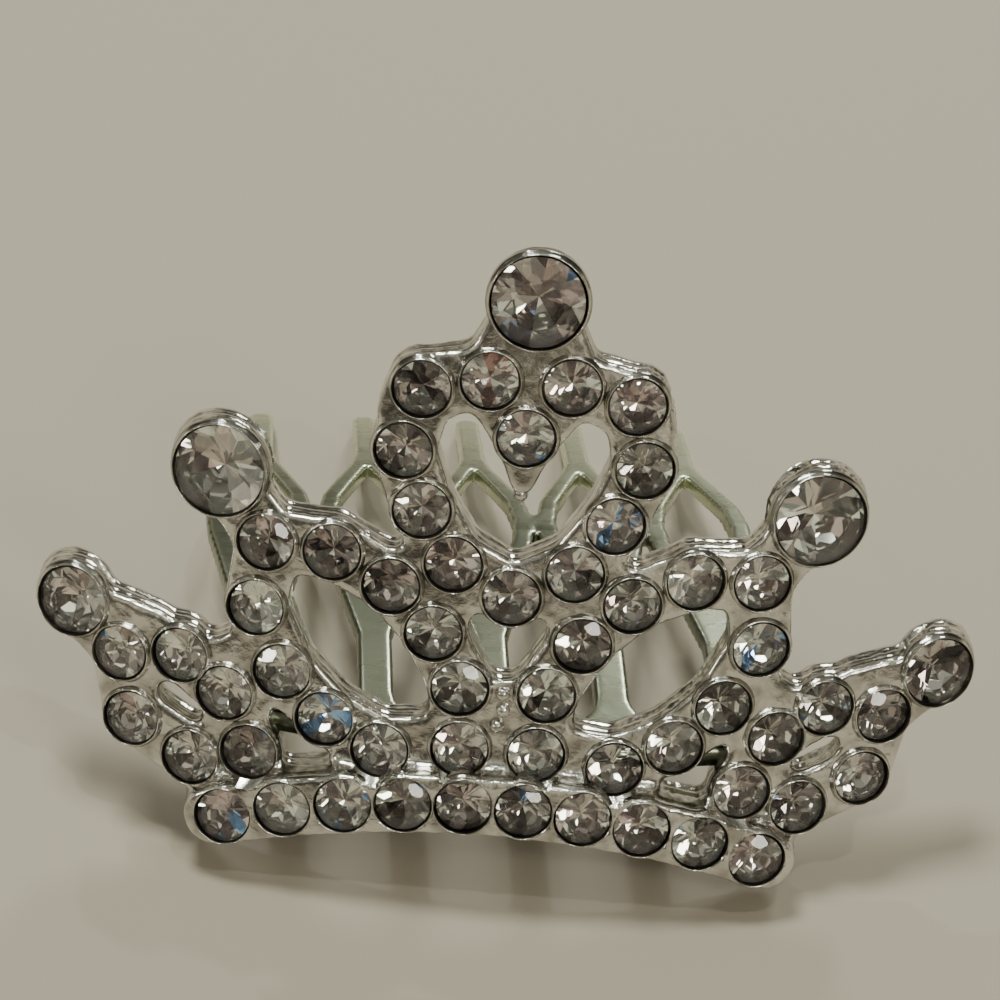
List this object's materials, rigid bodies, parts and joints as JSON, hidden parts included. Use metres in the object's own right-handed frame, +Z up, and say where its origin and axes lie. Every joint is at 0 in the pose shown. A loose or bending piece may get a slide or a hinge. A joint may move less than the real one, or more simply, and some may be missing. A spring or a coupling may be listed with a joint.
{
  "type": "tiara hair comb",
  "caption": "Small rhinestone tiara with a heart crest, side loops and swept back wings over a base bar, on a stamped metal hair comb.",
  "frame": {"origin": "point on the floor under the middle of the tiara's front face at its foot", "axes": "+X across to the viewer's right, -Y out of the tiara's front, +Z up; the comb runs back along +Y"},
  "size_m": [0.0482, 0.0398, 0.0326],
  "materials": {
    "silver": "silver plated casting, bright, slightly worn",
    "crystal": "clear cut crystal with a foil back"
  },
  "bodies": {
    "root": {"silver_frame": "silver", "top_stone": "crystal", "upper_left_stone": "crystal", "upper_right_stone": "crystal", "wing_tip_left_stone": "crystal", "wing_tip_right_stone": "crystal", "drop_stone": "crystal", "heart_stone_1": "crystal", "heart_stone_2": "crystal", "heart_stone_3": "crystal", "heart_stone_4": "crystal", "heart_stone_5": "crystal", "heart_stone_6": "crystal", "heart_stone_7": "crystal", "heart_stone_8": "crystal", "heart_stone_9": "crystal", "heart_stone_10": "crystal", "heart_stone_11": "crystal", "left_loop_stone_1": "crystal", "left_loop_stone_2": "crystal", "left_loop_stone_3": "crystal", "left_loop_stone_4": "crystal", "left_loop_stone_5": "crystal", "left_loop_stone_6": "crystal", "left_loop_stone_7": "crystal", "left_loop_stone_8": "crystal", "left_loop_stone_9": "crystal", "left_loop_stone_10": "crystal", "right_loop_stone_1": "crystal", "right_loop_stone_2": "crystal", "right_loop_stone_3": "crystal", "right_loop_stone_4": "crystal", "right_loop_stone_5": "crystal", "right_loop_stone_6": "crystal", "right_loop_stone_7": "crystal", "right_loop_stone_8": "crystal", "right_loop_stone_9": "crystal", "right_loop_stone_10": "crystal", "base_row_stones": "crystal", "left_wing_stones": "crystal", "right_wing_stones": "crystal"}
  },
  "joints": []
}
